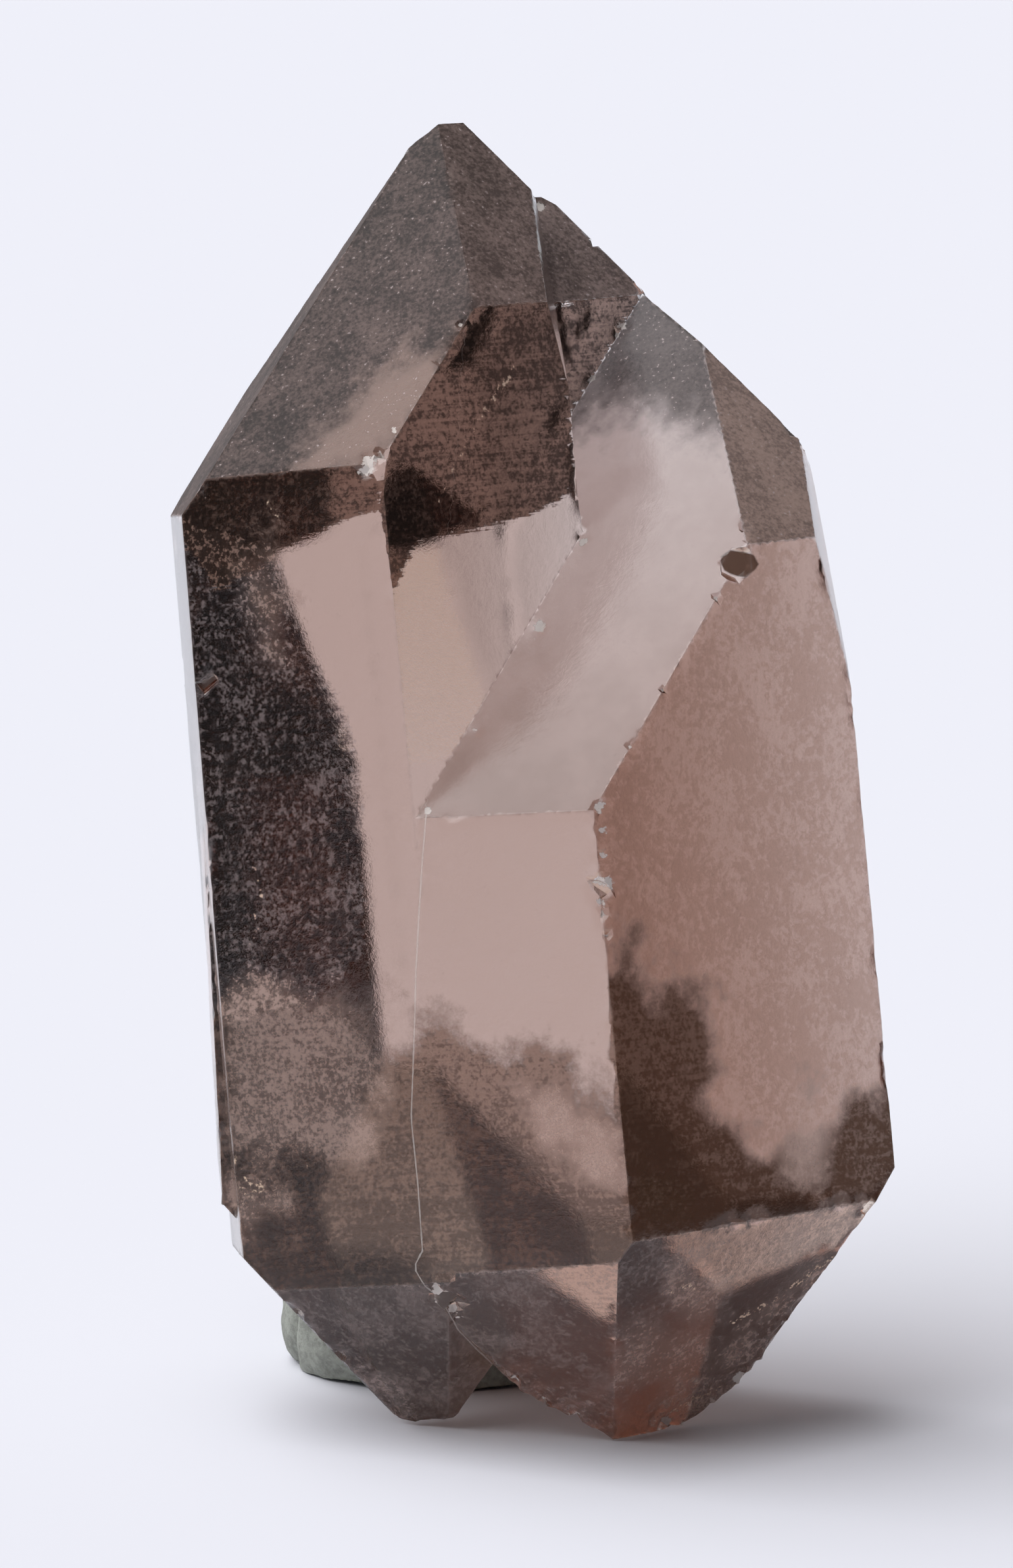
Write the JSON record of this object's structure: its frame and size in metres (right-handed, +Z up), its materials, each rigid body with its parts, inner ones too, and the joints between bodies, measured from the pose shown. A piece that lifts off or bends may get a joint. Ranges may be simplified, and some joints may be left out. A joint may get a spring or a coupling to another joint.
{
  "type": "smoky quartz crystal",
  "caption": "Smoky quartz specimen of parallel-grown six-sided crystals, pointed at top and foot, held upright by a lump of grey-green mounting putty behind the foot.",
  "frame": {"origin": "on the surface that the specimen stands on, under the middle of its bounding box", "axes": "+Z up, -Y towards the viewer who sees the broad front faces, +X to that viewer's right"},
  "size_m": [0.0437, 0.0383, 0.0768],
  "materials": {
    "quartz": "clear smoky brown, glossy sides with fine striations, frosted ends",
    "putty": "matte, finely grained"
  },
  "bodies": {
    "root": {"quartz_crystal": "quartz", "mounting_putty": "putty"}
  },
  "joints": []
}
